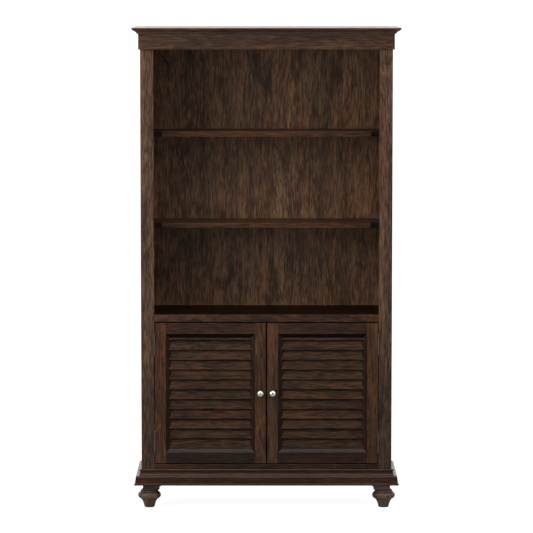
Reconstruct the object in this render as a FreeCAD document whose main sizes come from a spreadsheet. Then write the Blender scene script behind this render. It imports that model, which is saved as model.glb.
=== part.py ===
import FreeCAD, Part
import os
import Sketcher

# A tall bookcase: three open bays over a cupboard with two louvered doors, on four turned feet.
# Millimetres, +Z up, +X to the right as seen from the front, and the front faces -Y.
# The origin is on the floor, in the middle of the crown's width and depth.

DIMENSIONS = (
    # The whole case, measured over the crown moulding
    ("overall_width", 1098),
    ("overall_depth", 406),
    ("overall_height", 1981),
    # Crown and frieze
    ("crown_overhang", 33),        # crown beyond the carcass, at the front and sides
    ("crown_height", 27),
    ("crown_lap", 9),              # crown over the carcass's top edge
    ("frieze_height", 61.5),
    ("frieze_proud", 7),
    # Carcass boards and face frame
    ("panel_thick", 18),
    ("frame_thick", 20),
    ("stile_width", 54),
    ("back_thick", 6),
    ("back_recess", 9),            # back panel in from the rear edges
    ("back_lap", 8),               # back panel into each side's rebate
    ("fixed_shelf_top", 804),
    ("fixed_rail_height", 29),
    ("bottom_rail_top", 183),
    ("edge_ease", 2),
    # Screws that hold the back panels
    ("back_screw_head", 3.2),      # head radius
    ("back_screw_head_depth", 2),
    ("back_screw_shank", 1.5),     # shank radius
    ("back_screw_length", 14),
    ("back_screw_first", 40),      # lowest screw above the panels' bottom
    ("back_screw_rise", 215),      # spacing up each side
    ("back_screw_rise_count", 9),
    ("back_screw_run", 220),       # spacing along the fixed shelf
    ("back_screw_run_count", 4),
    # Base moulding
    ("base_bottom", 98),
    ("base_height", 65.5),
    ("base_overhang", 30.3),
    ("mitre_spare", 5),            # how far the mitre cuts run past the mouldings
    # Feet
    ("front_foot_inset", 31),      # foot axis in from the carcass front
    ("side_foot_inset", 31),       # foot axis in from each side
    ("rear_foot_inset", 50),       # foot axis in from the rear edges
    ("foot_plate_size", 68),
    ("foot_plate_thick", 21),
    ("foot_plate_inset", 5),       # plate in from the carcass side
    ("corner_block_size", 60),
    ("foot_bolt_radius", 4),
    ("foot_bolt_bottom", 45),
    ("foot_bolt_top", 150),
    # Adjustable shelves and their pins
    ("upper_shelf_top", 1551),
    ("lower_shelf_top", 1173),
    ("cupboard_shelf_top", 480),
    ("shelf_thick", 22),
    ("shelf_recess", 128),         # nosing back from the carcass front
    ("shelf_end_gap", 2),
    ("shelf_back_gap", 2),
    ("nosing_depth", 20),
    ("nosing_inset", 29),          # nosing's end in from the opening's edge
    ("pin_radius", 2.5),
    ("pin_depth", 10),             # pin into the side panel
    ("pin_reach", 10),             # pin out of the side panel
    ("pin_collar_radius", 4),
    ("pin_collar_thick", 1.5),
    ("pin_pitch", 32),             # spacing of the pin holes
    ("pin_hole_count", 5),         # holes in each row
    ("pin_inset", 36),             # pins in from the shelf's front and back edges
    # Doors
    ("door_thick", 22),
    ("door_flat", 45),             # flat width of the stiles and rails
    ("door_bevel", 20),            # width of the slope round the louvers
    ("door_bevel_depth", 10),
    ("door_side_gap", 2),
    ("door_meeting_gap", 4),
    ("door_top_gap", 4.5),
    ("door_bottom_gap", 4),
    # Louvers
    ("louver_count", 12),
    ("louver_pitch", 40.9),
    ("louver_width", 42),
    ("louver_thick", 6),
    ("louver_round", 2.2),
    ("louver_tilt", 14),           # degrees from upright, lower edge forward
    ("louver_recess", 13.8),       # middle of each louver back from the door's face
    ("louver_first", 81),          # middle of the lowest louver above the door's bottom
    ("louver_housing", 18),        # louver into each stile
    # Butt hinges: five knuckles, the leaves let into the stiles' edges
    ("hinge_length", 89),
    ("hinge_inset", 45),           # hinge's end in from the door's end
    ("hinge_proud", 3.2),          # pin axis in front of the door face
    ("hinge_barrel_radius", 3),
    ("hinge_barrel_clear", 3.3),
    ("hinge_pin_radius", 1.25),
    ("hinge_fixed_bore", 1.27),
    ("hinge_running_bore", 1.3),
    ("hinge_leaf_offset", 1),      # leaf's near face from the pin axis
    ("hinge_leaf_thick", 1.5),
    ("hinge_leaf_depth", 15),      # leaf into the wood
    ("hinge_knuckle_gap", 0.2),
    ("hinge_tip_radius", 2.4),     # button tips of the pin
    ("hinge_tip_height", 1.5),
    ("hinge_screw_head", 2.8),     # head radius
    ("hinge_screw_head_depth", 1.6),
    ("hinge_screw_shank", 1.25),   # shank radius
    ("hinge_screw_length", 13),
    ("hinge_screw_end", 12),       # outer screws in from the leaf's ends
    ("hinge_screw_deep", 13),      # outer screws back from the pin axis
    ("hinge_screw_shallow", 9),    # middle screw back from the pin axis
    # Knobs and catches
    ("knob_inset", 24),            # knob axis in from the door's free edge
    ("knob_radius", 15),
    ("knob_reach", 27),
    ("knob_screw_radius", 2),
    ("knob_screw_hole", 2.2),
    ("knob_screw_bite", 10),       # screw into the knob
    ("catch_near", 15),            # catch's near end from the middle of the case
    ("catch_length", 40),
    ("catch_depth", 20),
    ("catch_height", 14),
    ("strike_thick", 1),
    ("strike_gap", 0.5),
    ("strike_inset", 5),           # plate's ends in from the catch's ends
    ("strike_lift", 1.5),          # plate's lower edge above the door's
)

doc = FreeCAD.newDocument("Bookcase")
sheet = doc.addObject("Spreadsheet::Sheet", "dims")
for row, (alias, size) in enumerate(DIMENSIONS, start=1):
    sheet.set(f"A{row}", alias)
    sheet.set(f"B{row}", str(size))
    sheet.setAlias(f"B{row}", alias)
doc.recompute()

# Places that many parts share, as expressions of the sheet's cells
FRONT = "(dims.crown_overhang - dims.overall_depth / 2)"
BACK = "(dims.overall_depth / 2)"
SIDE = "(dims.overall_width / 2 - dims.crown_overhang)"
INNER = f"({SIDE} - dims.panel_thick)"
OPENING = f"({SIDE} - dims.stile_width)"
BEHIND_FRAME = f"({FRONT} + dims.frame_thick)"
BACK_FACE = f"({BACK} - dims.back_recess - dims.back_thick)"
CROWN_BOTTOM = "(dims.overall_height - dims.crown_height)"
FRIEZE_BOTTOM = f"({CROWN_BOTTOM} - dims.frieze_height)"
FIXED_SHELF_UNDER = "(dims.fixed_shelf_top - dims.panel_thick)"
FIXED_RAIL_UNDER = "(dims.fixed_shelf_top - dims.fixed_rail_height)"
FLOOR_UNDER = "(dims.bottom_rail_top - dims.panel_thick)"
PLATE_UNDER = "(dims.base_bottom - dims.foot_plate_thick)"
BACK_SEAM = "(dims.fixed_shelf_top - dims.panel_thick / 2)"
DOOR_BOTTOM = "(dims.bottom_rail_top + dims.door_bottom_gap)"
DOOR_TOP = f"({FIXED_RAIL_UNDER} - dims.door_top_gap)"
DOOR_OUTER = f"({OPENING} - dims.door_side_gap)"
DOOR_INNER = "(dims.door_meeting_gap / 2)"
DOOR_BACK = f"({FRONT} + dims.door_thick)"
HINGE_X = f"({OPENING} - dims.door_side_gap / 2)"
HINGE_Y = f"({FRONT} - dims.hinge_proud)"

LEFT, RIGHT = -1, 1
SIDES = (("left", LEFT), ("right", RIGHT))
X_AXIS = FreeCAD.Vector(1, 0, 0)
Y_AXIS = FreeCAD.Vector(0, 1, 0)
UNTURNED = FreeCAD.Rotation()

nodes = {}


def number(expression):
    """The value of an expression of the sheet's cells."""
    return float(sheet.evalExpression(str(expression)))


def keep(label, part):
    """Name a finished sub-part, which becomes a node of that name."""
    part.Label = label
    nodes[label] = part
    return part


def span(side, near, far):
    """The low and high X of a part between two distances from the middle, on one side."""
    if side == RIGHT:
        return f"({near})", f"({far})"
    return f"-({far})", f"-({near})"


def board(name, x, y, z):
    """A plain board, with each axis given as a low and a high place."""
    box = doc.addObject("Part::Box", name)
    for size, axis, (low, high) in (("Length", "x", x), ("Width", "y", y), ("Height", "z", z)):
        box.setExpression(size, f"({high}) - ({low})")
        box.setExpression(f"Placement.Base.{axis}", low)
    return box


def rod(name, radius, length, x="0", y="0", z="0"):
    """An upright round rod standing on the point x, y, z."""
    cylinder = doc.addObject("Part::Cylinder", name)
    cylinder.setExpression("Radius", radius)
    cylinder.setExpression("Height", length)
    place(cylinder, x, y, z)
    return cylinder


def place(part, x="0", y="0", z="0"):
    """Bind a part's place to expressions of the sheet's cells."""
    for axis, value in (("x", x), ("y", y), ("z", z)):
        part.setExpression(f"Placement.Base.{axis}", value)


def cut(name, base, *tools):
    """A part with other parts' shapes taken out of it."""
    result = doc.addObject("Part::Cut", name)
    result.Base = base
    result.Tool = tools[0] if len(tools) == 1 else gather(f"{name}_tools", tools)
    return result


def fuse(name, members):
    """Several overlapping shapes joined into one solid."""
    result = doc.addObject("Part::MultiFuse", name)
    result.Shapes = list(members)
    return result


def gather(name, members):
    """Several separate solids held together without joining them."""
    result = doc.addObject("Part::Compound", name)
    result.Links = list(members)
    return result


def eased(name, base, *lines):
    """A part with some straight edges rounded; each line fixes two of x, y and z."""
    doc.recompute()
    radius = number("dims.edge_ease")
    chosen = [index for index, edge in enumerate(base.Shape.Edges, start=1)
              if any(lies_on(edge, line) for line in lines)]
    if len(chosen) != len(lines):
        raise RuntimeError(f"{name}: {len(lines)} edges asked for, {len(chosen)} found")
    result = doc.addObject("Part::Fillet", name)
    result.Base = base
    result.Edges = [(index, radius, radius) for index in chosen]
    return result


def lies_on(edge, line):
    """Whether an edge keeps the two coordinates that a line fixes."""
    box = edge.BoundBox
    ends = {"x": (box.XMin, box.XMax), "y": (box.YMin, box.YMax), "z": (box.ZMin, box.ZMax)}
    tolerance = 1e-4
    return all(abs(end - number(place_on_axis)) < tolerance
               for axis, place_on_axis in line.items() for end in ends[axis])


def copies(label, pattern, places):
    """One node of identical separate solids, made from a pattern part and a list of placements."""
    doc.recompute()
    solids = []
    for spot in places:
        solid = pattern.Shape.Solids[0].copy()
        solid.Placement = spot.multiply(solid.Placement)
        solids.append(solid)
    result = doc.addObject("Part::Feature", label)
    result.Shape = Part.makeCompound(solids)
    result.Placement = FreeCAD.Placement()
    return keep(label, result)


def at(x, y, z, turn=UNTURNED):
    """A placement from expressions, with an optional rotation."""
    return FreeCAD.Placement(FreeCAD.Vector(number(x), number(y), number(z)), turn)


def origin_feature(body, role):
    """One of a body's own origin planes or axes."""
    return next(item for item in body.Origin.OriginFeatures if item.Role == role)


def sketch_on(body, role, distance="0"):
    """An empty sketch on one of a body's origin planes, moved along the plane's normal."""
    sketch = body.newObject("Sketcher::SketchObject", f"{body.Name}_sketch")
    sketch.AttachmentSupport = [(origin_feature(body, role), "")]
    sketch.MapMode = "FlatFace"
    sketch.setExpression("AttachmentOffset.Base.z", distance)
    return sketch


def outline(sketch, corners):
    """Draw a closed outline. A corner is (x, y) where a straight edge leaves it, or
    (x, y, radius, bulge) where an arc does; bulge 1 swells to the right of the way along."""
    first = sketch.GeometryCount
    points = [FreeCAD.Vector(number(corner[0]), number(corner[1]), 0) for corner in corners]
    starts, finishes = [], []
    for corner, start, finish in zip(corners, points, points[1:] + points[:1]):
        if len(corner) == 2:
            sketch.addGeometry(Part.LineSegment(start, finish), False)
            starts.append(1)
            finishes.append(2)
            continue
        half = (finish - start) / 2
        radius = number(corner[2])
        rise = radius - (radius ** 2 - half.Length ** 2) ** 0.5
        middle = start + half + FreeCAD.Vector(half.y, -half.x, 0).normalize() * corner[3] * rise
        # A sketch's arcs run anticlockwise, so one that swells to the left is drawn backwards
        forward = corner[3] > 0
        ends = (start, finish) if forward else (finish, start)
        sketch.addGeometry(Part.Arc(ends[0], middle, ends[1]), False)
        starts.append(1 if forward else 2)
        finishes.append(2 if forward else 1)
    for index, corner in enumerate(corners):
        following = (index + 1) % len(corners)
        joint = Sketcher.Constraint("Coincident", first + index, finishes[index],
                                    first + following, starts[following])
        sketch.addConstraint(joint)
        bind_size(sketch, ("DistanceX", -1, 1, first + index, starts[index]), corner[0])
        bind_size(sketch, ("DistanceY", -1, 1, first + index, starts[index]), corner[1])
        if len(corner) == 4:
            bind_size(sketch, ("Radius", first + index), corner[2])


def bind_size(sketch, constraint, expression):
    """Add a sketch dimension and bind it to an expression."""
    index = sketch.addConstraint(Sketcher.Constraint(*constraint, number(expression)))
    sketch.setExpression(f"Constraints[{index}]", expression)


def padded(name, role, start, length, corners):
    """A body made by padding one outline away from an origin plane."""
    body = doc.addObject("PartDesign::Body", name)
    sketch = sketch_on(body, role, start)
    outline(sketch, corners)
    pad = body.newObject("PartDesign::Pad", f"{name}_pad")
    pad.Profile = sketch
    pad.setExpression("Length", length)
    return body


def turned(name, corners):
    """A body turned about Z from an outline of (radius, height) corners."""
    body = doc.addObject("PartDesign::Body", name)
    sketch = sketch_on(body, "XZ_Plane")
    outline(sketch, corners)
    revolution = body.newObject("PartDesign::Revolution", f"{name}_turning")
    revolution.Profile = sketch
    revolution.ReferenceAxis = (origin_feature(body, "Z_Axis"), [""])
    revolution.Angle = 360
    return body


def pocketed(body, name, sketch, length=None, reverse=False):
    """Cut a sketch into a body, to a depth or right through both ways, and check that it bit."""
    doc.recompute()
    before = body.Shape.Volume
    pocket = body.newObject("PartDesign::Pocket", name)
    pocket.Profile = sketch
    if length is None:
        pocket.Type = "ThroughAll"
        pocket.Midplane = True
    else:
        pocket.setExpression("Length", length)
        pocket.Reversed = reverse
    doc.recompute()
    if body.Shape.Volume >= before:
        raise RuntimeError(f"{name} cut nothing")
    return pocket


def repeated(body, name, feature, length, count):
    """Repeat a feature upwards along Z inside its body."""
    pattern = body.newObject("PartDesign::LinearPattern", name)
    pattern.Originals = [feature]
    pattern.Direction = (origin_feature(body, "Z_Axis"), [""])
    pattern.setExpression("Length", length)
    pattern.setExpression("Occurrences", count)
    body.Tip = pattern
    return pattern


# Shelf pins: two in each side for every adjustable shelf, in rows of spare holes

SHELF_TOPS = {
    "upper_shelf": "dims.upper_shelf_top",
    "lower_shelf": "dims.lower_shelf_top",
    "cupboard_shelf": "dims.cupboard_shelf_top",
}
SHELF_FRONT = f"({FRONT} + dims.shelf_recess)"
SHELF_BACK = f"({BACK_FACE} - dims.shelf_back_gap)"
PIN_ROWS = (f"({SHELF_FRONT} + dims.pin_inset)", f"({SHELF_BACK} - dims.pin_inset)")


def pin_height(shelf_top):
    """The height of the pins' axes under a shelf."""
    return f"({shelf_top} - dims.shelf_thick - dims.pin_radius)"


def shelf_pins():
    """Metal pins with a collar against the side panel."""
    collar = "dims.pin_depth + dims.pin_collar_thick"
    pin = turned("shelf_pin_pattern", [
        ("0", "0"),
        ("dims.pin_radius", "0"),
        ("dims.pin_radius", "dims.pin_depth"),
        ("dims.pin_collar_radius", "dims.pin_depth"),
        ("dims.pin_collar_radius", collar),
        ("dims.pin_radius", collar),
        ("dims.pin_radius", "dims.pin_depth + dims.pin_reach"),
        ("0", "dims.pin_depth + dims.pin_reach"),
    ])
    places = [at(f"{side} * ({INNER} + dims.pin_depth)", row, pin_height(top),
                 FreeCAD.Rotation(Y_AXIS, -90 * side))
              for top in SHELF_TOPS.values() for row in PIN_ROWS for _, side in SIDES]
    return copies("shelf_pins", pin, places)


# Carcass

def screw_shape(kind):
    """A countersunk wood screw of the named kind, head up, with the head's flat at height 0."""
    size = f"dims.{kind}"
    return turned(f"{kind}_pattern", [
        ("0", "0"),
        (f"{size}_head", "0"),
        (f"{size}_shank", f"-{size}_head_depth"),
        (f"{size}_shank", f"-{size}_length"),
        ("0", f"-{size}_length"),
    ])


def back_screws():
    """Screws through the two back panels, up both side rebates and along the fixed shelf."""
    pattern = screw_shape("back_screw")
    outwards = FreeCAD.Rotation(X_AXIS, -90)
    rear = f"{BACK} - dims.back_recess"
    places = [at(f"{side} * ({INNER} + dims.back_lap / 2)", rear,
                 f"dims.base_bottom + dims.back_screw_first + {step} * dims.back_screw_rise",
                 outwards)
              for _, side in SIDES for step in range(int(number("dims.back_screw_rise_count")))]
    places += [at(f"({step} - (dims.back_screw_run_count - 1) / 2) * dims.back_screw_run", rear,
                  f"{BACK_SEAM} + {half} * dims.panel_thick / 4", outwards)
               for half in (-1, 1) for step in range(int(number("dims.back_screw_run_count")))]
    return copies("back_screws", pattern, places)


def side_panels(pins, screws):
    """Side panels, rebated for the back and drilled with rows of shelf-pin holes."""
    for word, side in SIDES:
        body = padded(
            f"{word}_side_blank", "XY_Plane", "dims.base_bottom",
            f"{CROWN_BOTTOM} - dims.base_bottom",
            [(f"{side} * {x}", y) for x, y in (
                (SIDE, BEHIND_FRAME),
                (SIDE, BACK),
                (f"({INNER} + dims.back_lap)", BACK),
                (f"({INNER} + dims.back_lap)", BACK_FACE),
                (INNER, BACK_FACE),
                (INNER, BEHIND_FRAME),
            )])
        holes = sketch_on(body, "YZ_Plane", f"{side} * {INNER}")
        for top in SHELF_TOPS.values():
            for row_place in PIN_ROWS:
                lowest = f"({pin_height(top)} - (dims.pin_hole_count - 1) / 2 * dims.pin_pitch)"
                add_circle(holes, row_place, lowest, "dims.pin_radius")
        drilling = pocketed(body, f"{word}_pin_holes", holes, "dims.pin_depth", side == RIGHT)
        repeated(body, f"{word}_pin_rows", drilling,
                 "(dims.pin_hole_count - 1) * dims.pin_pitch", "dims.pin_hole_count")
        keep(f"{word}_side_panel", cut(f"{word}_side_cut", body, screws, pins))


def add_circle(sketch, x, y, radius):
    """A circle in a sketch, with its middle and radius bound to expressions."""
    middle = FreeCAD.Vector(number(x), number(y), 0)
    index = sketch.addGeometry(
        Part.Circle(middle, FreeCAD.Vector(0, 0, 1), number(radius)), False)
    bind_size(sketch, ("DistanceX", -1, 1, index, 3), x)
    bind_size(sketch, ("DistanceY", -1, 1, index, 3), y)
    bind_size(sketch, ("Radius", index), radius)


def face_frame(hinge_tools):
    """The stiles and rails that frame the front, with the hinges' leaves let in."""
    depth = (FRONT, BEHIND_FRAME)
    across = (f"-{OPENING}", OPENING)
    for word, side in SIDES:
        blank = board(f"{word}_stile_blank", span(side, OPENING, SIDE), depth,
                      ("dims.base_bottom", CROWN_BOTTOM))
        soft = eased(f"{word}_stile_eased", blank,
                     {"x": f"{side} * {SIDE}", "y": FRONT},
                     {"x": f"{side} * {OPENING}", "y": FRONT})
        keep(f"{word}_stile", cut(f"{word}_stile_cut", soft, *hinge_tools))
    keep("top_rail", board("top_rail_board", across, depth, (FRIEZE_BOTTOM, CROWN_BOTTOM)))
    rail = board("fixed_rail_board", across, depth, (FIXED_RAIL_UNDER, "dims.fixed_shelf_top"))
    keep("fixed_shelf_rail", eased("fixed_rail_eased", rail,
                                   {"y": FRONT, "z": "dims.fixed_shelf_top"},
                                   {"y": FRONT, "z": FIXED_RAIL_UNDER}))
    low = board("bottom_rail_board", across, depth, ("dims.base_bottom", "dims.bottom_rail_top"))
    keep("bottom_rail", eased("bottom_rail_eased", low,
                              {"y": FRONT, "z": "dims.bottom_rail_top"}))


def inner_boards(screws):
    """Top, fixed shelf, floor, rear base rail and the two back panels."""
    across = (f"-{INNER}", INNER)
    inside = (BEHIND_FRAME, BACK_FACE)
    rest = f"{SIDE} - dims.crown_lap"
    keep("top_panel", board("top_panel_board", (f"-({rest})", rest),
                            (f"{FRONT} + dims.crown_lap", BACK),
                            (CROWN_BOTTOM, "dims.overall_height")))
    shelf = board("fixed_shelf_board", across, inside,
                  (FIXED_SHELF_UNDER, "dims.fixed_shelf_top"))
    keep("fixed_shelf", cut("fixed_shelf_cut", shelf, screws))
    keep("cabinet_floor", board("floor_board", across, inside,
                                (FLOOR_UNDER, "dims.bottom_rail_top")))
    keep("rear_base_rail", board("rear_rail_board", across,
                                 (f"{BACK_FACE} - dims.panel_thick", BACK_FACE),
                                 ("dims.base_bottom", FLOOR_UNDER)))
    lapped = (f"-({INNER} + dims.back_lap)", f"({INNER} + dims.back_lap)")
    depth = (BACK_FACE, f"{BACK} - dims.back_recess")
    for name, reach in (("back_panel_upper", (BACK_SEAM, CROWN_BOTTOM)),
                        ("back_panel_lower", ("dims.base_bottom", BACK_SEAM))):
        keep(name, cut(f"{name}_cut", board(f"{name}_board", lapped, depth, reach), screws))


# Mouldings: one section, run along the front and returned down both sides with mitred corners.
# A section's corners are (distance out from the carcass, height), as in outline().

CROWN_SECTION = [
    ("-dims.crown_lap", CROWN_BOTTOM),
    ("dims.frieze_proud + 0.5", CROWN_BOTTOM, "7", -1),
    ("13", f"{CROWN_BOTTOM} + 4.5"),
    ("15.4", f"{CROWN_BOTTOM} + 8.5"),
    ("19", f"{CROWN_BOTTOM} + 12", "55", 1),
    ("dims.crown_overhang", f"{CROWN_BOTTOM} + 21"),
    ("dims.crown_overhang", "dims.overall_height - 1.5", "1.5", 1),
    ("dims.crown_overhang - 1.5", "dims.overall_height"),
    ("-dims.crown_lap", "dims.overall_height"),
]
BASE_SECTION = [
    ("0", "dims.base_bottom"),
    ("dims.base_overhang - 2.6", "dims.base_bottom", "5", 1),
    ("dims.base_overhang - 3", "dims.base_bottom + 9"),
    ("dims.base_overhang - 5.3", "dims.base_bottom + 9"),
    ("dims.base_overhang - 5.8", "dims.base_bottom + 32", "8", 1),
    ("dims.base_overhang - 11.3", "dims.base_bottom + 39.5"),
    ("11", "dims.base_bottom + 39.5"),
    ("10.5", "dims.base_bottom + 41", "18", -1),
    ("7", "dims.base_bottom + 52.5"),
    ("5", "dims.base_bottom + 53.5"),
    ("5", "dims.base_bottom + 57"),
    ("6.2", "dims.base_bottom + 57", "4.7", 1),
    ("5.8", "dims.base_bottom + dims.base_height"),
    ("0", "dims.base_bottom + dims.base_height"),
]


def moulding(name, section, reach, inset):
    """Front, left and right runs of a moulding. Reach is how far it stands out from the
    carcass, and inset how far it laps over it."""
    near = f"({inset} + dims.mitre_spare)"
    far = f"({reach} + dims.mitre_spare)"
    front = padded(f"{name}_front_run", "YZ_Plane", f"-({SIDE} + {far})", f"2 * ({SIDE} + {far})",
                   [(f"{FRONT} - ({corner[0]})", *corner[1:2], *swapped(corner, -1))
                    for corner in section])
    corners = sketch_on(front, "XY_Plane")
    for _, side in SIDES:
        outline(corners, [
            (f"{side} * ({SIDE} + {far})", f"{FRONT} - {far}"),
            (f"{side} * ({SIDE} + {far})", f"{FRONT} + {near}"),
            (f"{side} * ({SIDE} - {near})", f"{FRONT} + {near}"),
        ])
    pocketed(front, f"{name}_front_mitres", corners)
    keep(f"{name}_front", front)
    for word, side in SIDES:
        run = padded(f"{name}_{word}_run", "XZ_Plane", f"-{BACK}", f"{BACK} - {FRONT} + {far}",
                     [(f"{side} * ({SIDE} + {corner[0]})", *corner[1:2], *swapped(corner, side))
                      for corner in section])
        mitre = sketch_on(run, "XY_Plane")
        outline(mitre, [
            (f"{side} * ({SIDE} + {far})", f"{FRONT} - {far}"),
            (f"{side} * ({SIDE} - {near})", f"{FRONT} - {far}"),
            (f"{side} * ({SIDE} - {near})", f"{FRONT} + {near}"),
        ])
        pocketed(run, f"{name}_{word}_mitre", mitre)
        keep(f"{name}_{word}", run)


def swapped(corner, hand):
    """A corner's arc, if it has one, for a section drawn the same way round or mirrored."""
    return (corner[2], corner[3] * hand) if len(corner) == 4 else ()


def frieze():
    """Flat boards under the crown, planted on the front and both sides."""
    outer = f"({SIDE} + dims.frieze_proud)"
    height = (FRIEZE_BOTTOM, CROWN_BOTTOM)
    front = board("frieze_front_board", (f"-{outer}", outer),
                  (f"{FRONT} - dims.frieze_proud", FRONT), height)
    keep("frieze_front", eased("frieze_front_eased", front,
                               {"y": f"{FRONT} - dims.frieze_proud", "z": FRIEZE_BOTTOM}))
    for word, side in SIDES:
        keep(f"frieze_{word}", board(f"frieze_{word}_board", span(side, SIDE, outer),
                                     (FRONT, BACK), height))


# Feet: a turned bun over a tapered toe, under a square plate, bolted up into a corner block

FOOT_X = f"({SIDE} - dims.side_foot_inset)"
FOOT_ROWS = {
    "front": f"({FRONT} + dims.front_foot_inset)",
    "rear": f"({BACK} - dims.rear_foot_inset)",
}
FOOT_OUTLINE = [
    ("0", "0"),
    ("18.2", "0", "2.8", 1),
    ("21", "2.8"),
    ("23.5", "12", "60", -1),
    ("33", "33"),
    ("36", "36.5", "14.8", 1),
    ("39.5", "64"),
    ("36", "65.5"),
    ("36", "66", "4", 1),
    ("35.5", "72"),
    ("33", "72.5"),
    ("33", "73.5", "5", -1),
    ("30", PLATE_UNDER),
    ("0", PLATE_UNDER),
]


def feet():
    """The four turned feet with their plates, corner blocks and hanger bolts."""
    spots = [(row, y, word, side) for row, y in FOOT_ROWS.items() for word, side in SIDES]
    bolt = rod("foot_bolt_pattern", "dims.foot_bolt_radius",
               "dims.foot_bolt_top - dims.foot_bolt_bottom")
    bolts = copies("foot_bolts", bolt,
                   [at(f"{side} * {FOOT_X}", y, "dims.foot_bolt_bottom") for _, y, _, side in spots])
    plates, blocks = [], []
    plate_outer = f"({SIDE} - dims.foot_plate_inset)"
    block_depths = {
        "front": (BEHIND_FRAME, f"{BEHIND_FRAME} + dims.corner_block_size"),
        "rear": (f"{BACK_FACE} - dims.panel_thick - dims.corner_block_size",
                 f"{BACK_FACE} - dims.panel_thick"),
    }
    for row, y, word, side in spots:
        foot = turned(f"{row}_{word}_foot_turned", FOOT_OUTLINE)
        place(foot, f"{side} * {FOOT_X}", y)
        keep(f"{row}_{word}_foot", cut(f"{row}_{word}_foot_bored", foot, bolts))
        plates.append(board(
            f"{row}_{word}_plate", span(side, f"{plate_outer} - dims.foot_plate_size", plate_outer),
            (f"{y} - dims.foot_plate_size / 2", f"{y} + dims.foot_plate_size / 2"),
            (PLATE_UNDER, "dims.base_bottom")))
        blocks.append(board(
            f"{row}_{word}_block", span(side, f"{INNER} - dims.corner_block_size", INNER),
            block_depths[row], ("dims.base_bottom", FLOOR_UNDER)))
    keep("foot_plates", cut("foot_plates_bored", gather("foot_plate_blanks", plates), bolts))
    keep("corner_blocks", cut("corner_blocks_bored", gather("corner_block_blanks", blocks), bolts))


# Adjustable shelves

def adjustable_shelves():
    """Loose shelves on pins: a board as wide as the inside, with a shorter nosing in front."""
    nosing_back = f"({SHELF_FRONT} + dims.nosing_depth)"
    end = f"({INNER} - dims.shelf_end_gap)"
    nosing_end = f"({OPENING} - dims.nosing_inset)"
    for name, top in SHELF_TOPS.items():
        height = (f"{top} - dims.shelf_thick", top)
        front = SHELF_FRONT if name == "cupboard_shelf" else nosing_back
        keep(f"{name}_board", board(f"{name}_panel", (f"-{end}", end), (front, SHELF_BACK), height))
        if name == "cupboard_shelf":
            continue
        strip = board(f"{name}_strip", (f"-{nosing_end}", nosing_end),
                      (SHELF_FRONT, nosing_back), height)
        keep(f"{name}_nosing", eased(f"{name}_nosing_eased", strip,
                                     {"y": SHELF_FRONT, "z": height[0]},
                                     {"y": SHELF_FRONT, "z": height[1]}))


# Hinges. Each is drawn with its pin on the Z axis, the case's leaf on -X and the door's on +X,
# both running back along +Y, which is the left-hand door's way round.

CASE_KNUCKLES = (0, 2, 4)
DOOR_KNUCKLES = (1, 3)
HINGE_SCREW_SPOTS = (
    ("dims.hinge_screw_deep", "dims.hinge_screw_end"),
    ("dims.hinge_screw_shallow", "dims.hinge_length / 2"),
    ("dims.hinge_screw_deep", "dims.hinge_length - dims.hinge_screw_end"),
)


def hinge_leaf(name, hand, bore, knuckles, others):
    """One leaf with its own knuckles, cleared round the other leaf's knuckles."""
    near = "dims.hinge_leaf_offset"
    reach = "(dims.hinge_proud + dims.hinge_leaf_depth)"
    pitch = "(dims.hinge_length / 5)"
    plate = board(f"{name}_plate", span(hand, near, f"{near} + dims.hinge_leaf_thick"),
                  ("0", reach), ("0", "dims.hinge_length"))
    rooms = [rod(f"{name}_room_{index}", "dims.hinge_barrel_clear",
                 f"{pitch} + 2 * dims.hinge_knuckle_gap",
                 z=f"{index} * {pitch} - dims.hinge_knuckle_gap") for index in others]
    barrels = [rod(f"{name}_knuckle_{index}", "dims.hinge_barrel_radius", pitch,
                   z=f"{index} * {pitch}") for index in knuckles]
    joined = fuse(f"{name}_joined", [cut(f"{name}_cleared", plate, *rooms), *barrels])
    return cut(name, joined, rod(f"{name}_bore", bore, "dims.hinge_length"))


def hinge_pin():
    """A pin with a button tip at each end of the barrel."""
    crown = "dims.hinge_tip_height"
    shoulder = f"{crown} - 0.6"
    return turned("hinge_pin_pattern", [
        ("0", f"-{crown}"),
        ("dims.hinge_tip_radius - 0.4", f"-{crown}"),
        ("dims.hinge_tip_radius", f"-({shoulder})"),
        ("dims.hinge_tip_radius", "0"),
        ("dims.hinge_pin_radius", "0"),
        ("dims.hinge_pin_radius", "dims.hinge_length"),
        ("dims.hinge_tip_radius", "dims.hinge_length"),
        ("dims.hinge_tip_radius", f"dims.hinge_length + {shoulder}"),
        ("dims.hinge_tip_radius - 0.4", f"dims.hinge_length + {crown}"),
        ("0", f"dims.hinge_length + {crown}"),
    ])


def hinge_places(side):
    """Placements of a door's two hinges. The right-hand ones are the left-hand ones turned
    over, which swaps the leaves' sides and keeps the knuckles' order."""
    low = f"({DOOR_BOTTOM} + dims.hinge_inset)"
    high = f"({DOOR_TOP} - dims.hinge_inset - dims.hinge_length)"
    if side == LEFT:
        return [at(f"-{HINGE_X}", HINGE_Y, z) for z in (low, high)]
    over = FreeCAD.Rotation(Y_AXIS, 180)
    return [at(HINGE_X, HINGE_Y, f"{z} + dims.hinge_length", over) for z in (low, high)]


def screw_places(side, hand):
    """Placements of the three screws in each of a door's leaves, on one hand of the pin."""
    turn = FreeCAD.Rotation(Y_AXIS, -90 * hand)
    local = [at(f"{hand} * dims.hinge_leaf_offset", y, z, turn) for y, z in HINGE_SCREW_SPOTS]
    return [hinge.multiply(spot) for hinge in hinge_places(side) for spot in local]


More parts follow.
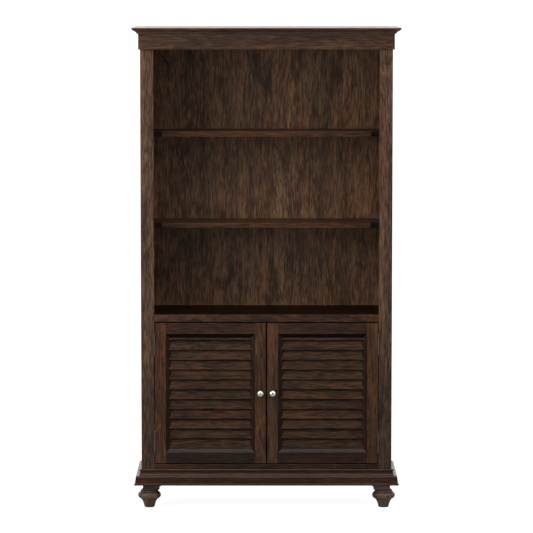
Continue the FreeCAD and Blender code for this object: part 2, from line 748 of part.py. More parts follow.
def hinges():
    """Both doors' hinges: leaves, pins and screws. Returns what the stiles are cut by."""
    case_leaf = hinge_leaf("case_leaf_pattern", LEFT, "dims.hinge_fixed_bore",
                           CASE_KNUCKLES, DOOR_KNUCKLES)
    door_leaf = hinge_leaf("door_leaf_pattern", RIGHT, "dims.hinge_running_bore",
                           DOOR_KNUCKLES, CASE_KNUCKLES)
    screw = screw_shape("hinge_screw")
    case_screws = copies("case_hinge_screws", screw,
                         screw_places(LEFT, LEFT) + screw_places(RIGHT, LEFT))
    screwed_leaf = cut("case_leaf_screwed", case_leaf, local_screws("case", screw, LEFT))
    case_leaves = copies("case_hinge_leaves", screwed_leaf, hinge_places(LEFT) + hinge_places(RIGHT))
    copies("hinge_pins", hinge_pin(), hinge_places(LEFT) + hinge_places(RIGHT))
    door_tools = {}
    screwed_leaf = cut("door_leaf_screwed", door_leaf, local_screws("door", screw, RIGHT))
    for word, side in SIDES:
        leaves = copies(f"{word}_door_hinge_leaves", screwed_leaf, hinge_places(side))
        screws = copies(f"{word}_door_hinge_screws", screw, screw_places(side, RIGHT))
        door_tools[word] = (leaves, screws)
    return (case_leaves, case_screws), door_tools


def local_screws(word, screw, hand):
    """The three screws of one leaf in the hinge's own frame, to cut their seats."""
    doc.recompute()
    turn = FreeCAD.Rotation(Y_AXIS, -90 * hand)
    solids = []
    for y, z in HINGE_SCREW_SPOTS:
        solid = screw.Shape.Solids[0].copy()
        solid.Placement = at(f"{hand} * dims.hinge_leaf_offset", y, z, turn)
        solids.append(solid)
    seats = doc.addObject("Part::Feature", f"{word}_leaf_seats")
    seats.Shape = Part.makeCompound(solids)
    return seats


# Doors

def door_stile(name, side, edge, inwards):
    """A door stile with its slope towards the louvers. Edge is its outer edge's distance from
    the middle of the case, and inwards the way from there to the louvers."""
    body = padded(name, "XY_Plane", DOOR_BOTTOM, f"{DOOR_TOP} - {DOOR_BOTTOM}", [
        (f"{side} * {edge}", FRONT),
        (f"{side} * ({edge} + {inwards} * dims.door_flat)", FRONT),
        (f"{side} * ({edge} + {inwards} * (dims.door_flat + dims.door_bevel))",
         f"{FRONT} + dims.door_bevel_depth"),
        (f"{side} * ({edge} + {inwards} * (dims.door_flat + dims.door_bevel))", DOOR_BACK),
        (f"{side} * {edge}", DOOR_BACK),
    ])
    return eased(f"{name}_eased", body, {"x": f"{side} * {edge}", "y": FRONT})


def door_rail(name, side, edge, inwards):
    """A door rail with the same slope, run across the whole width between the stiles' flats."""
    low, high = span(side, f"{DOOR_INNER} + dims.door_flat", f"{DOOR_OUTER} - dims.door_flat")
    return padded(name, "YZ_Plane", low, f"{high} - ({low})", [
        (FRONT, edge),
        (FRONT, f"{edge} + {inwards} * dims.door_flat"),
        (f"{FRONT} + dims.door_bevel_depth",
         f"{edge} + {inwards} * (dims.door_flat + dims.door_bevel)"),
        (DOOR_BACK, f"{edge} + {inwards} * (dims.door_flat + dims.door_bevel)"),
        (DOOR_BACK, edge),
    ])


def louver_bars(name, side):
    """The louvers before the rails trim the highest and lowest: one rounded slat, repeated."""
    inset = "(dims.door_flat + dims.door_bevel - dims.louver_housing)"
    low, high = span(side, f"{DOOR_INNER} + {inset}", f"{DOOR_OUTER} - {inset}")
    body = doc.addObject("PartDesign::Body", name)
    sketch = sketch_on(body, "YZ_Plane", low)
    sketch.setExpression("AttachmentOffset.Base.x", f"{FRONT} + dims.louver_recess")
    sketch.setExpression("AttachmentOffset.Base.y", f"{DOOR_BOTTOM} + dims.louver_first")
    sketch.setExpression("AttachmentOffset.Rotation.Angle", "-dims.louver_tilt * 1 deg")
    half_thick, half_width, bend = ("(dims.louver_thick / 2)", "(dims.louver_width / 2)",
                                    "dims.louver_round")
    corners = []
    for sign_x, sign_y in ((1, -1), (1, 1), (-1, 1), (-1, -1)):
        beside = (f"{sign_x} * ({half_thick} - {bend})", f"{sign_y} * {half_width}")
        along = (f"{sign_x} * {half_thick}", f"{sign_y} * ({half_width} - {bend})")
        first, second = (beside, along) if sign_x * sign_y < 0 else (along, beside)
        corners += [(*first, bend, 1), second]
    outline(sketch, corners)
    pad = body.newObject("PartDesign::Pad", f"{name}_pad")
    pad.Profile = sketch
    pad.setExpression("Length", f"{high} - ({low})")
    repeated(body, f"{name}_rows", pad,
             "(dims.louver_count - 1) * dims.louver_pitch", "dims.louver_count")
    return body


# Half the knob's section with its blind screw hole: base disc, neck, then a domed face.
KNOB_OUTLINE = [
    ("0", "dims.knob_screw_bite"),
    ("dims.knob_screw_radius", "dims.knob_screw_bite"),
    ("dims.knob_screw_radius", "0"),
    ("8.5", "0"),
    ("8.5", "1.6", "6", -1),
    ("5.5", "6"),
    ("5.5", "8.5"),
    ("6.5", "9.2", "11", 1),
    ("dims.knob_radius", "16.5", "15.96", 1),
    ("1", "dims.knob_reach"),
    ("0", "dims.knob_reach"),
]


def door(word, side, hinge_tools):
    """One door: two stiles, two rails, louvers, knob with its screw, and strike plate."""
    hinge_stile = door_stile(f"{word}_hinge_stile_blank", side, DOOR_OUTER, -1)
    meeting_stile = door_stile(f"{word}_meeting_stile_blank", side, DOOR_INNER, 1)
    top_rail = door_rail(f"{word}_top_rail_blank", side, DOOR_TOP, -1)
    low_rail = door_rail(f"{word}_low_rail_blank", side, DOOR_BOTTOM, 1)
    louvers = cut(f"{word}_louvers_trimmed", louver_bars(f"{word}_louver_bars", side),
                  top_rail, low_rail)
    keep(f"{word}_door_louvers", louvers)
    knob_x = f"{side} * ({DOOR_INNER} + dims.knob_inset)"
    knob_z = f"({DOOR_BOTTOM} + {DOOR_TOP}) / 2"
    to_front = FreeCAD.Rotation(X_AXIS, 90)
    screw = turned(f"{word}_knob_screw_turned", [
        ("0", "-2.4"),
        ("3.2", "-2.4"),
        ("4", "-1.4"),
        ("4", "0"),
        ("dims.knob_screw_radius", "0"),
        ("dims.knob_screw_radius", "dims.door_thick + dims.knob_screw_bite"),
        ("0", "dims.door_thick + dims.knob_screw_bite"),
    ])
    screw.Placement.Rotation = to_front
    place(screw, knob_x, DOOR_BACK, knob_z)
    keep(f"{word}_knob_screw", screw)
    knob = turned(f"{word}_knob_turned", KNOB_OUTLINE)
    knob.Placement.Rotation = to_front
    place(knob, knob_x, FRONT, knob_z)
    keep(f"{word}_knob", knob)
    hole = rod(f"{word}_knob_hole", "dims.knob_screw_hole", "dims.door_thick")
    hole.Placement.Rotation = to_front
    place(hole, knob_x, DOOR_BACK, knob_z)
    keep(f"{word}_door_hinge_stile", cut(f"{word}_hinge_stile_cut", hinge_stile,
                                         louvers, *hinge_tools))
    keep(f"{word}_door_meeting_stile", cut(f"{word}_meeting_stile_cut", meeting_stile,
                                           louvers, hole))
    for name, rail in (("top", top_rail), ("bottom", low_rail)):
        keep(f"{word}_door_{name}_rail", cut(f"{word}_{name}_rail_coped", rail,
                                             hinge_stile, meeting_stile))
    keep(f"{word}_strike_plate", board(
        f"{word}_strike_board",
        span(side, "dims.catch_near + dims.strike_inset",
             "dims.catch_near + dims.catch_length - dims.strike_inset"),
        (DOOR_BACK, f"{DOOR_BACK} + dims.strike_thick"),
        (f"{DOOR_BOTTOM} + dims.strike_lift", f"{DOOR_BOTTOM} + dims.catch_height")))


def catches():
    """Magnetic catches on the cupboard floor, one behind each door's free corner."""
    front = f"({DOOR_BACK} + dims.strike_thick + dims.strike_gap)"
    bodies = [board(f"{word}_catch",
                    span(side, "dims.catch_near", "dims.catch_near + dims.catch_length"),
                    (front, f"{front} + dims.catch_depth"),
                    ("dims.bottom_rail_top", "dims.bottom_rail_top + dims.catch_height"))
              for word, side in SIDES]
    keep("magnetic_catches", gather("catch_group", bodies))


def check_document():
    """Stop if any object failed or any node's shape isn't a valid solid."""
    for item in doc.Objects:
        if {"Invalid", "Error"} & set(item.State):
            raise RuntimeError(f"{item.Label} failed: {item.State}")
    for label, part in nodes.items():
        shape = part.Shape
        if shape.isNull() or not shape.isValid() or not shape.Solids:
            raise RuntimeError(f"{label} has no valid solid")


all_pins = shelf_pins()
all_back_screws = back_screws()
side_panels(all_pins, all_back_screws)
inner_boards(all_back_screws)
frieze()
moulding("crown", CROWN_SECTION, "dims.crown_overhang", "dims.crown_lap")
moulding("base", BASE_SECTION, "dims.base_overhang", "0")
feet()
adjustable_shelves()
case_tools, door_tools = hinges()
face_frame(case_tools)
for word, side in SIDES:
    door(word, side, door_tools[word])
catches()

doc.recompute()
check_document()
os.makedirs("parts", exist_ok=True)
for label, part in nodes.items():
    part.Shape.exportStep(f"parts/{label}.step")
print(f"{len(nodes)} nodes, {sum(len(part.Shape.Solids) for part in nodes.values())} solids")
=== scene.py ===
"""A tall bookcase over a louvered cupboard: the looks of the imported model.

Metres, +Z up, the front faces -Y, and the origin is on the floor in the middle of the object.
"""
import math

import bpy
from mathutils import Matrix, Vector

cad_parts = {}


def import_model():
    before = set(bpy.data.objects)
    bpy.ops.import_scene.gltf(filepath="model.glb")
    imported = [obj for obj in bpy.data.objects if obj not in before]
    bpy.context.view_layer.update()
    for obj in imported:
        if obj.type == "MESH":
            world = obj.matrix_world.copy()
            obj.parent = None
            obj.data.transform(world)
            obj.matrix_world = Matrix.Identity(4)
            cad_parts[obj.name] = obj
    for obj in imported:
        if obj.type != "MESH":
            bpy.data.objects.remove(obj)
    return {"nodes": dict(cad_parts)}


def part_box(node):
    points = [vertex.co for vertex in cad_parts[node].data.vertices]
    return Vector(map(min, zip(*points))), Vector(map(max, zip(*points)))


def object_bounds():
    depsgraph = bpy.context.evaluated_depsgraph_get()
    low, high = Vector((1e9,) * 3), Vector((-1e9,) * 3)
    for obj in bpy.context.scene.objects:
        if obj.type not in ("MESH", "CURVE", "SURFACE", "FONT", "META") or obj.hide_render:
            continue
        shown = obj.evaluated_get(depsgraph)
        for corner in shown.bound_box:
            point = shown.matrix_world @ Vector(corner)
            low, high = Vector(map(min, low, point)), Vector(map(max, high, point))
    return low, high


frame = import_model()
cad_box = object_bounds()

LOW, HIGH = cad_box
MIDDLE = (LOW + HIGH) / 2
X, Y, Z = range(3)


# Colours

WHITE = (1.0, 1.0, 1.0)


def scaled(colour, factor):
    return tuple(part * factor for part in colour)


def times(colour, shares):
    return tuple(part * share for part, share in zip(colour, shares))


def leaning(hue, amount):
    """White, moved by an amount of a hue."""
    return tuple(1.0 + part * amount for part in hue)


def opaque(colour):
    return (*colour, 1.0)


# Node graphs

class Graph:
    """A node tree, built by calls that return output sockets."""

    def __init__(self, owner):
        owner.use_nodes = True
        self.owner = owner
        self.tree = owner.node_tree

    def node(self, kind, inputs=(), **settings):
        made = self.tree.nodes.new(f"ShaderNode{kind}")
        for key, value in settings.items():
            setattr(made, key, value)
        for key, value in dict(inputs).items():
            self.feed(made.inputs[key], value)
        return made

    def feed(self, socket, value):
        """Link a socket to another's output, or set its plain value."""
        if isinstance(value, bpy.types.NodeSocket):
            self.tree.links.new(value, socket)
        else:
            socket.default_value = value

    def place(self):
        """Coordinates in metres that ride with a piece, and at rest are the frame's."""
        return self.node("TexCoord").outputs["Object"]

    def math(self, operation, first, second=0.0, third=0.0):
        return self.node("Math", {0: first, 1: second, 2: third}, operation=operation).outputs[0]

    def vector(self, operation, first, second):
        made = self.node("VectorMath", {0: first, 1: second}, operation=operation)
        return made.outputs["Vector"]

    def split(self, vector):
        return self.node("SeparateXYZ", {0: vector}).outputs

    def join(self, x, y, z):
        return self.node("CombineXYZ", {0: x, 1: y, 2: z}).outputs[0]

    def noise(self, vector, scales, detail, roughness=0.55, distortion=0.0):
        """Noise about 0.5, with its features stretched by a scale for each axis."""
        made = self.node("TexNoise", {
            "Vector": self.vector("MULTIPLY", vector, scales), "Scale": 1.0, "Detail": detail,
            "Roughness": roughness, "Distortion": distortion})
        return made.outputs["Fac"]

    def swing(self, value, size, base):
        """Base plus a noise's swing about its middle, times a size."""
        return self.math("MULTIPLY_ADD", self.math("SUBTRACT", value, 0.5), size, base)

    def remap(self, value, low, high, to_low=0.0, to_high=1.0):
        """A smooth step from to_low to to_high as value goes from low to high."""
        return self.node("MapRange", {
            "Value": value, "From Min": low, "From Max": high, "To Min": to_low,
            "To Max": to_high}, interpolation_type="SMOOTHSTEP").outputs["Result"]

    def mix(self, factor, first, second, blend="MIX"):
        made = self.node("Mix", data_type="RGBA", blend_type=blend)
        for key, value in ((0, factor), (6, first), (7, second)):
            self.feed(made.inputs[key], value)
        return made.outputs[2]

    def dim(self, colour, share):
        """A share of a colour, where the share may vary."""
        return self.mix(1.0, colour, self.join(share, share, share), "MULTIPLY")

    def ramp(self, value, stops):
        made = self.node("ValToRGB", {"Fac": value})
        ramp = made.color_ramp
        ramp.interpolation = "EASE"
        while len(ramp.elements) < len(stops):
            ramp.elements.new(0.5)
        for element, (place, colour) in zip(ramp.elements, stops):
            element.position = place
            element.color = opaque(colour)
        return made.outputs["Color"]

    def bump(self, height, distance, strength):
        """The surface's normal, tilted by a height. A height of 1 is a distance in metres."""
        return self.node("Bump", {"Height": height, "Distance": distance,
                                  "Strength": strength}).outputs["Normal"]

    def finish(self, values):
        """Set the surface shader's sockets, and return the material."""
        for key, value in values.items():
            self.feed(self.tree.nodes["Principled BSDF"].inputs[key], value)
        return self.owner


# Wood: a dark stain over a streaked, knotty grain, under satin lacquer

# The grain's features: how often each comes in a metre, twice across the grain, then along
# it, and then its noise's detail, roughness and distortion
KNOTS = (2.6, 2.6, 1.6)
DRIFT = ((3.0, 3.0, 0.7), 2.0)
CLOUDS = ((13.0, 13.0, 5.5), 4.0, 0.62, 0.6)
FLOWING = {
    "hues": ((16.0, 16.0, 1.3), 3.0),
    "bands": ((26.0, 26.0, 1.5), 3.0, 0.6),
    "streaks": ((75.0, 75.0, 4.0), 3.0, 0.6),
    "fine": ((300.0, 300.0, 19.0), 3.0, 0.65),
    "pores": ((800.0, 800.0, 22.0), 1.0),
}

# Metres by which the grain bends round a knot and drifts along a board
KNOT_BEND = 0.05
DRIFT_BEND = 0.10

# A knot's distances, in its own scale: where the grain starts to bend and where it bends
# most, and where the dark ring fades in from outside and from inside
KNOT_REACH = (0.20, 0.0)
RING_OUTSIDE = (0.065, 0.035)
RING_INSIDE = (0.010, 0.030)

# Noise values between which pores, a warmer hue and dark clouds come in
PORE_EDGES = (0.58, 0.72)
HUE_EDGES = (0.38, 0.64)
CLOUD_EDGES = (0.50, 0.70)

# How far each feature swings the shade, the lacquer's roughness, and the height of the
# surface beside its fine lines
CONTRASTS = (("bands", 1.0), ("streaks", 0.4), ("fine", 2.7))
UNEVEN = (("clouds", 0.15), ("fine", 0.25))
RELIEF = (("streaks", 0.6), ("pores", -0.7))
RELIEF_BUMP = (0.0006, 0.3)         # distance in metres, strength

# The stain from the grain's dark lines to its pale ones: place, then shares of its colour
SHADES = (
    (0.14, (0.34, 0.33, 0.36)),
    (0.36, (0.66, 0.64, 0.66)),
    (0.50, (1.00, 1.00, 1.00)),
    (0.66, (1.52, 1.50, 1.42)),
    (0.90, (2.25, 2.20, 2.00)),
)
DARK_SHARE = 0.24                   # of the stain's colour, in knot rings and clouds

# The hues that the stain drifts between, as steps from white, and how far they are taken
COOL = (-0.08, 0.03, 0.12)
WARM = (0.18, -0.07, -0.24)
WARMTH = 0.55

# The colours in the pores, of the painted shade (also of the shelf boards' darkened fronts),
# and of the painted sheen on up-facing slopes
PORE = (0.012, 0.007, 0.005)
PORE_COVER = 0.4
SHADE_AND_DARK_FRONT = (0.0045, 0.0030, 0.0022)
PAINTED_SHEEN = (0.105, 0.088, 0.078)

# Slopes, as parts of the unit normal. The painted sheen is strongest on slopes that face half
# upward and leaves little on flat tops. Painted shade lies on slopes that face sideways or
# down. The shelf boards' fronts are darkened where they face forward.
SHEEN_STARTS = (0.08, 0.45)
SHEEN_ENDS = (0.85, 0.55)
SHEEN_ON_TOPS = 0.12
SHADE_SIDEWAYS = (0.12, 0.42)
SHADE_SIDE_SHARE = 0.78
SHADE_DOWN = (-0.12, -0.42)
DARK_FRONT_FACING = (-0.4, -0.8)

# Heights in metres between which a painted shade darkens parts towards the floor
LOW_SHADE_HEIGHTS = (0.25, 0.80)     # low_shade below the first, none above the second

# The strips of wood that a wide panel is glued up from, and the louvers of a door
STRIP_START = 0.03
STRIP_WIDTH = 0.145
LOUVER_PITCH = 0.0409               # as the model has them
STRIP_JUMP = (5.0, 5.0, 5.0)        # how far apart the strips' grain may be
STRIP_TONES = 0.22                  # spread of their tones about the stain

# How far each seed moves a board through the grain, and where that starts again, by axis
SEED_STEPS = ((3.17, 7.3), (1.91, 5.9), (4.43, 9.1))

# What a look has where it doesn't say otherwise:
#   strips: (axis, start, width) of the separate lengths of wood in one node
#   low_shade: share of the colour near the floor, a painted shade
#   rubbed, glaze, dark_front: how far the painted sheen, the painted shade and the darkened
#   front cover the slopes that they are on, 0 to 1
#   roughness, gloss: of the lacquer
PLAIN = {"strips": None, "low_shade": 1.0, "painted_sheen": 0.0, "painted_shade": 0.0, "dark_front": 0.0,
         "roughness": 0.42, "gloss": 0.18}

# The look of each wooden slot:
#   stain: colour in even light
#   streak: contrast of the grain
#   mottle, knots, warmth: how strong the clouds, the knot rings and the change of hue are
LOOKS = {
    "frame_wood": {"stain": (0.070, 0.040, 0.026), "streak": 1.0, "mottle": 0.45, "knots": 0.8,
                   "warmth": 0.9, "low_shade": 0.64},
    "moulding_wood": {"stain": (0.058, 0.031, 0.018), "streak": 0.8, "mottle": 0.4, "knots": 0.3,
                      "warmth": 0.7, "roughness": 0.34, "gloss": 0.34, "painted_sheen": 0.50},
    "case_wood": {"stain": (0.058, 0.031, 0.018), "streak": 0.8, "mottle": 0.4, "knots": 0.4,
                  "warmth": 0.5, "strips": (Y, STRIP_START, STRIP_WIDTH)},
    "back_wood": {"stain": (0.078, 0.042, 0.023), "streak": 0.9, "mottle": 0.90, "knots": 0.9,
                  "warmth": 0.5, "strips": (X, STRIP_START, STRIP_WIDTH)},
    "shelf_wood": {"stain": (0.052, 0.028, 0.015), "streak": 0.8, "mottle": 0.4, "knots": 0.3,
                   "warmth": 0.5},
    "inner_wood": {"stain": (0.050, 0.028, 0.017), "streak": 0.7, "mottle": 0.4, "knots": 0.3,
                   "warmth": 0.4},
    # Doors and louvers carry painted shade on their slopes that face sideways or down
    "door_wood": {"stain": (0.062, 0.033, 0.018), "streak": 1.0, "mottle": 0.4, "knots": 0.5,
                  "warmth": 1.0, "painted_sheen": 0.10, "painted_shade": 0.97},
    "louver_wood": {"stain": (0.055, 0.032, 0.018), "streak": 1.2, "mottle": 0.35, "knots": 0.3,
                    "warmth": 0.7, "painted_shade": 0.92},
    "foot_wood": {"stain": (0.075, 0.055, 0.045), "streak": 0.7, "mottle": 0.3, "knots": 0.0,
                  "warmth": 0.3},
}

# Parts whose finish and painted sheen differ from the rest of their slot
FINISHES = {
    "fixed_shelf": {"gloss": 0.02},
    "top_panel": {"roughness": 0.36, "gloss": 0.28},
    **{f"base_{side}": {"gloss": 0.18, "painted_sheen": 0.20} for side in ("front", "left", "right")},
}
# How far the shelf boards' front-facing faces are darkened to near black
BOARD_DARK_FRONT = 0.95

# How deep and how brown a part's stain is beside its slot's: a share of the colour, then how
# far blue is held back (green by half of that). The shares are partly the parts' own tones
# and partly painted shade, deepest on the fixed shelf's top and on parts near the floor. The
# first ending that a name has counts.
TONES = (
    # The fixed shelf's share makes its top near black, a painted shade
    ("fixed_shelf", 0.10, 0.70),
    ("fixed_shelf_rail", 0.41, 0.42),
    ("door_top_rail", 0.28, 0.40),
    ("door_bottom_rail", 0.16, 0.65),
    ("door_hinge_stile", 0.50, 0.46),
    ("door_meeting_stile", 0.51, 0.32),
    ("louvers", 0.36, 0.50),
    ("bottom_rail", 0.38, 0.75),
    ("stile", 0.60, 0.18),
    ("shelf_nosing", 0.55, 0.46),
    ("shelf_board", 0.42, 0.45),
    ("foot", 0.94, 0.30),
)
# The same for the mouldings that run round three sides, by a name's first word
RUN_TONES = {"crown": (0.60, 0.20), "frieze": (0.53, 0.34), "base": (0.32, 0.65)}
AS_THE_SLOT = (1.0, 0.0)

GRAIN_ALONG_Y = [f"{run}_{side}" for run in RUN_TONES for side in ("left", "right")]
GRAIN_ALONG_X = ("_front", "rail", "board", "nosing", "shelf", "louvers", "floor", "top_panel",
                 "plates", "blocks")


def grain_of(name):
    """The axis that a part's grain runs along."""
    if name in GRAIN_ALONG_Y:
        return Y
    return X if name.endswith(GRAIN_ALONG_X) else Z


def stain_of(name, stain):
    """A slot's stain in the tone of one part."""
    tones = [(share, brown) for ending, share, brown in TONES if name.endswith(ending)]
    share, brown = (tones or [RUN_TONES.get(name.split("_")[0], AS_THE_SLOT)])[0]
    return times(scaled(stain, share), (1.0, 1.0 - brown / 2, 1.0 - brown))


def look_of(name, slot):
    """The look of a wooden part: its slot's, in its own tone and finish."""
    look = {**PLAIN, **LOOKS[slot], **FINISHES.get(name, {})}
    look["stain"] = stain_of(name, look["stain"])
    if name.endswith("louvers"):
        look["strips"] = (Z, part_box(name)[0].z, LOUVER_PITCH)
    if name.endswith("shelf_board"):
        look["dark_front"] = BOARD_DARK_FRONT
    return look


def grain_space(graph, axis, seed):
    """Coordinates with Z along the grain, moved by a seed so that boards differ."""
    x, y, z = graph.split(graph.place())
    order = {X: (y, z, x), Y: (z, x, y), Z: (x, y, z)}[axis]
    shift = tuple(step * seed % wrap for step, wrap in SEED_STEPS)
    return graph.vector("ADD", graph.join(*order), shift)


def strip_draw(graph, axis, start, width):
    """A random shift of the grain for each strip, counted along an axis, and a random value."""
    along = graph.math("SUBTRACT", graph.split(graph.place())[axis], start)
    count = graph.math("FLOOR", graph.math("DIVIDE", along, width))
    drawn = graph.node("TexWhiteNoise", {"W": count}, noise_dimensions="1D").outputs
    return graph.vector("MULTIPLY", drawn["Color"], STRIP_JUMP), drawn["Value"]


def grain_features(graph, space):
    """The grain's features. All but the knot rings and clouds flow round the knots."""
    knot = graph.node("TexVoronoi", {
        "Vector": graph.vector("MULTIPLY", space, KNOTS), "Scale": 1.0,
        "Randomness": 1.0}, feature="F1").outputs["Distance"]
    drift = graph.math("MULTIPLY", graph.noise(space, *DRIFT), DRIFT_BEND)
    bend = graph.math("MULTIPLY_ADD", graph.remap(knot, *KNOT_REACH), KNOT_BEND, drift)
    x, y, z = graph.split(space)
    flow = graph.join(graph.math("ADD", x, bend), graph.math("ADD", y, bend), z)
    features = {name: graph.noise(flow, *settings) for name, settings in FLOWING.items()}
    features["pores"] = graph.remap(features["pores"], *PORE_EDGES)
    features["clouds"] = graph.noise(space, *CLOUDS)
    features["rings"] = graph.math("MULTIPLY", graph.remap(knot, *RING_OUTSIDE),
                                   graph.remap(knot, *RING_INSIDE))
    return features


def swung(graph, features, sizes, base):
    """Base plus each feature's swing about its middle, times its size."""
    for feature, size in sizes:
        base = graph.swing(features[feature], size, base)
    return base


def stained(graph, features, look):
    """The stain over the grain: its lines and hues, then its clouds, knot rings and pores."""
    contrasts = [(feature, size * look["streak"]) for feature, size in CONTRASTS]
    shade = swung(graph, features, contrasts, 0.5)
    stain = look["stain"]
    colour = graph.ramp(shade, [(place, times(stain, shares)) for place, shares in SHADES])
    warmth = look["warmth"] * WARMTH
    tint = graph.mix(graph.remap(features["hues"], *HUE_EDGES),
                     opaque(leaning(COOL, warmth)), opaque(leaning(WARM, warmth)))
    colour = graph.mix(1.0, colour, tint, "MULTIPLY")
    dark = graph.math("MAXIMUM",
                      graph.remap(features["clouds"], *CLOUD_EDGES, 0.0, look["mottle"]),
                      graph.math("MULTIPLY", features["rings"], look["knots"]))
    colour = graph.mix(dark, colour, opaque(scaled(stain, DARK_SHARE)))
    return graph.mix(graph.math("MULTIPLY", features["pores"], PORE_COVER), colour, opaque(PORE))


def treated(graph, colour, look):
    """The colour with a painted sheen on slopes that face half upward, painted shade on slopes
    that face sideways or down and front-facing faces darkened, and then the gloss, which the
    painted shade takes away."""
    facing = graph.split(graph.node("TexCoord").outputs["Normal"])
    gloss = look["gloss"]
    if look["painted_sheen"]:
        # Painted sheen: slopes that face half upward turn paler and greyer, standing in for
        # highlights
        sheen_cover = graph.math("MULTIPLY", graph.remap(facing[Z], *SHEEN_STARTS, 0.0, look["painted_sheen"]),
                            graph.remap(facing[Z], *SHEEN_ENDS, SHEEN_ON_TOPS, 1.0))
        colour = graph.mix(sheen_cover, colour, opaque(PAINTED_SHEEN))
    if look["painted_shade"]:
        # Painted shade: slopes that face sideways or down turn near black and lose their gloss
        sideways = graph.remap(graph.math("ABSOLUTE", facing[X]), *SHADE_SIDEWAYS, 0.0,
                               SHADE_SIDE_SHARE * look["painted_shade"])
        cover = graph.math("MAXIMUM", sideways,
                           graph.remap(facing[Z], *SHADE_DOWN, 0.0, look["painted_shade"]))
        colour = graph.mix(cover, colour, opaque(SHADE_AND_DARK_FRONT))
        gloss = graph.math("MULTIPLY", gloss, graph.math("SUBTRACT", 1.0, cover))
    if look["dark_front"]:
        # Front-facing faces darkened to near black
        cover = graph.remap(facing[Y], *DARK_FRONT_FACING, 0.0, look["dark_front"])
        colour = graph.mix(cover, colour, opaque(SHADE_AND_DARK_FRONT))
    return colour, gloss


def wood(name, axis, seed, look):
    """Stained and lacquered wood with its grain along an axis."""
    graph = Graph(bpy.data.materials.new(name))
    space = grain_space(graph, axis, seed)
    if look["strips"]:
        shift, drawn = strip_draw(graph, *look["strips"])
        space = graph.vector("ADD", space, shift)
    features = grain_features(graph, space)
    colour = stained(graph, features, look)
    if look["strips"]:
        colour = graph.dim(colour, graph.math("MULTIPLY_ADD", drawn, STRIP_TONES,
                                              1.0 - STRIP_TONES / 2))
    # Painted shade: darker towards the floor
    if look["low_shade"] < 1.0:
        height = graph.split(graph.place())[Z]
        colour = graph.dim(colour, graph.remap(height, *LOW_SHADE_HEIGHTS, look["low_shade"], 1.0))
    colour, gloss = treated(graph, colour, look)
    relief = swung(graph, features, RELIEF, features["fine"])
    return graph.finish({
        "Base Color": colour, "Specular IOR Level": gloss,
        "Roughness": swung(graph, features, UNEVEN, look["roughness"]),
        "Normal": graph.bump(relief, *RELIEF_BUMP)})


# Metal and plastic

# The hardware of each slot: colour, roughness, and 1 for metal or 0 for plastic
HARDWARE = {
    "knob_nickel": ((0.50, 0.47, 0.42), 0.25, 1.0),
    "pin_nickel": ((0.60, 0.58, 0.54), 0.30, 1.0),
    "hinge_metal": ((0.085, 0.082, 0.078), 0.42, 1.0),
    "screw_steel": ((0.30, 0.28, 0.25), 0.38, 1.0),
    "strike_steel": ((0.45, 0.43, 0.40), 0.35, 1.0),
    "catch_plastic": ((0.035, 0.022, 0.016), 0.5, 0.0),
}

# Its fine grit, and the broader patches that are a little darker or duller, like the grain's
GRIT = ((400.0, 400.0, 400.0), 2.0)
GRIT_BUMP = (0.0001, 0.15)
PATCHES = ((40.0, 40.0, 40.0), 3.0)
PATCH_EDGES = (0.35, 0.65)
DARK_PATCH, LIGHT_PATCH = 0.86, 1.12
PATCH_ROUGHNESS = 0.2


def hardware(name, colour, roughness, metallic):
    """Satin metal or dull plastic, with a fine, slightly uneven finish."""
    graph = Graph(bpy.data.materials.new(name))
    space = graph.place()
    patches = graph.noise(space, *PATCHES)
    tint = graph.mix(graph.remap(patches, *PATCH_EDGES), opaque(scaled(colour, DARK_PATCH)),
                     opaque(scaled(colour, LIGHT_PATCH)))
    return graph.finish({
        "Base Color": tint, "Metallic": metallic,
        "Roughness": graph.swing(patches, PATCH_ROUGHNESS, roughness),
        "Normal": graph.bump(graph.noise(space, *GRIT), *GRIT_BUMP)})


def dress(seed, node, slot):
    """Give a node the material of its slot."""
    if slot in LOOKS:
        made = wood(node.name, grain_of(node.name), seed, look_of(node.name, slot))
    else:
        made = hardware(node.name, *HARDWARE[slot])
    node.material_slots[0].material = made


slots = {name: part.material_slots[0].material.name for name, part in frame["nodes"].items()}
for seed, name in enumerate(sorted(frame["nodes"])):
    dress(seed, frame["nodes"][name], slots[name])


# Edges: the frame, the mouldings, the shelves and the doors have their sharp edges taken off by
# hand

EASED = {"frame_wood": 0.0008, "moulding_wood": 0.0006, "shelf_wood": 0.0010, "door_wood": 0.0007}
SHARP = math.radians(13)            # edges that turn by more than this are eased
SAME_PLACE = 1e-5                   # metres between corners that are welded into one


def soften(node, width):
    """Round a node's sharp edges a little."""
    weld = node.modifiers.new("weld", "WELD")
    weld.merge_threshold = SAME_PLACE
    bevel = node.modifiers.new("bevel", "BEVEL")
    bevel.width = width
    bevel.segments = 2
    bevel.limit_method = "ANGLE"
    bevel.angle_limit = SHARP
    node.modifiers.new("normals", "WEIGHTED_NORMAL")


for part in frame["nodes"].values():
    if slots[part.name] in EASED:
        soften(part, EASED[slots[part.name]])


# Stage

FLOOR_REACH = 400.0                 # metres each way
FLOOR_GLOW = 0.92
FLOOR_ROUGHNESS = 0.9
FLOOR_SEEN, FLOOR_LIT = (0.30, 0.30, 0.30), (0.40, 0.40, 0.40)

# The world's strength in front of the object, behind it, and at least where it is seen. It
# changes between two directions, given as how far back they point, from -1 to 1.
WORLD_FRONT, WORLD_BACK, WORLD_SEEN = 0.18, 1.75, 1.2
WORLD_EDGES = (-0.25, 0.95)

# Softboxes: azimuth from the front and elevation in degrees, distance, side, power in watts
LIGHTS = {
    "side_left": (-52, 18, 3.9, 2.2, 138),
    "side_right": (54, 19, 3.9, 2.2, 80),
    "top_left": (-30, 55, 4.2, 2.0, 84),
    "top_right": (30, 55, 4.2, 2.0, 74),
}

EYE = (0.0, -12.47, 2.223)
EYE_DOWN = 5.66                     # degrees below level
LENS = 203.4                        # millimetres, like the sensor
SENSOR = 36.0
FAR = 1000.0                        # beyond the floor's far edge


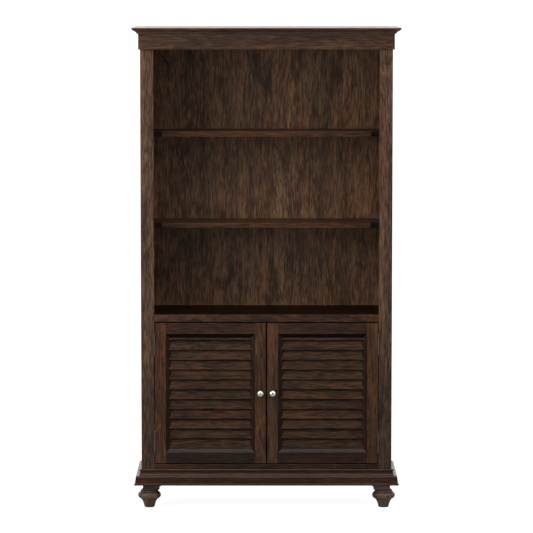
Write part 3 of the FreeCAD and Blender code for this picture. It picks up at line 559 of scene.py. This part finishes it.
def floor():
    """A pale floor that shows as white and keeps faint shadows."""
    mesh = bpy.data.meshes.new("floor")
    corners = [(-1, -1), (1, -1), (1, 1), (-1, 1)]
    mesh.from_pydata([(x * FLOOR_REACH, y * FLOOR_REACH, 0) for x, y in corners],
                     [], [(0, 1, 2, 3)])
    made = bpy.data.objects.new("floor", mesh)
    bpy.context.scene.collection.objects.link(made)
    graph = Graph(bpy.data.materials.new("floor"))
    seen = graph.node("LightPath").outputs["Is Camera Ray"]
    mesh.materials.append(graph.finish({
        "Base Color": graph.mix(seen, opaque(FLOOR_LIT), opaque(FLOOR_SEEN)),
        "Roughness": FLOOR_ROUGHNESS, "Specular IOR Level": 0.0,
        "Emission Color": opaque(WHITE),
        "Emission Strength": graph.math("MULTIPLY", seen, FLOOR_GLOW)}))


def world():
    """A white studio: bright behind the object and dim in front of it."""
    made = bpy.data.worlds.new("studio")
    bpy.context.scene.world = made
    graph = Graph(made)
    behind = graph.split(graph.node("TexCoord").outputs["Generated"])[Y]
    strength = graph.remap(behind, *WORLD_EDGES, WORLD_FRONT, WORLD_BACK)
    seen = graph.node("LightPath").outputs["Is Camera Ray"]
    strength = graph.math("MAXIMUM", strength, graph.math("MULTIPLY", seen, WORLD_SEEN))
    background = graph.tree.nodes["Background"]
    background.inputs["Color"].default_value = opaque(WHITE)
    graph.feed(background.inputs["Strength"], strength)


def softbox(name, azimuth, elevation, distance, side, power):
    """A square light that faces the object's middle, placed by its angles from the front."""
    turn, rise = math.radians(azimuth), math.radians(elevation)
    away = Vector((math.sin(turn) * math.cos(rise), -math.cos(turn) * math.cos(rise),
                   math.sin(rise)))
    data = bpy.data.lights.new(name, "AREA")
    data.shape = "SQUARE"
    data.size = side
    data.energy = power
    made = bpy.data.objects.new(name, data)
    made.location = MIDDLE + away * distance
    made.rotation_euler = (-away).to_track_quat("-Z", "Y").to_euler()
    bpy.context.scene.collection.objects.link(made)


def camera():
    """A long lens far in front, above the middle and looking slightly down."""
    data = bpy.data.cameras.new("camera")
    data.lens = LENS
    data.sensor_width = SENSOR
    data.clip_end = FAR
    made = bpy.data.objects.new("camera", data)
    made.location = EYE
    made.rotation_euler = (math.radians(90 - EYE_DOWN), 0, 0)
    bpy.context.scene.collection.objects.link(made)
    bpy.context.scene.camera = made


floor()
world()
for name, settings in LIGHTS.items():
    softbox(name, *settings)
camera()
bpy.context.scene.view_settings.view_transform = "Standard"
